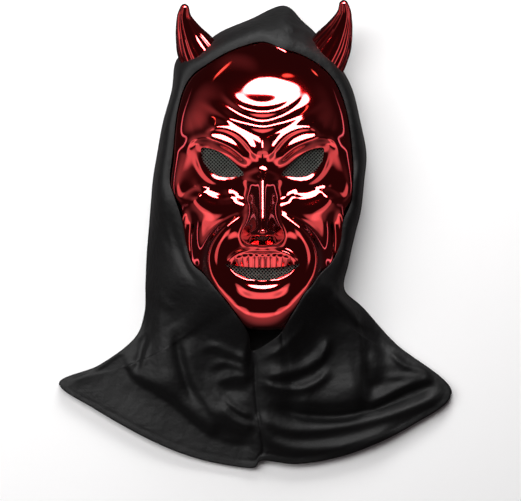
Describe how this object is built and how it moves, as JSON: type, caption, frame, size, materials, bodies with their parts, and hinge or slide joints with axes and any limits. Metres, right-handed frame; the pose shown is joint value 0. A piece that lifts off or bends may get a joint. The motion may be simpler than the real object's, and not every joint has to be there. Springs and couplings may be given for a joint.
{
  "type": "devil mask",
  "caption": "Rigid horned devil face mask with a scowling wrinkled face, gauze behind its openings and a soft hood with a cape, lying face up.",
  "frame": {"origin": "on the resting plane, on the flat back of the hood, under the mask's centre line", "axes": "+X to the right of a viewer who looks at the face, +Y towards the crown and the horns, +Z out of the face, up from the table it lies on"},
  "size_m": [0.357, 0.4225, 0.1019],
  "materials": {
    "metallised_plastic": "vacuum-metallised, clear red lacquer, mirror gloss",
    "gauze": "black punched gauze",
    "satin": "black satin, soft sheen"
  },
  "bodies": {
    "root": {"mask_shell": "metallised_plastic", "eye_mesh_left": "gauze", "eye_mesh_right": "gauze", "mouth_mesh": "gauze", "hood": "satin"}
  },
  "joints": []
}
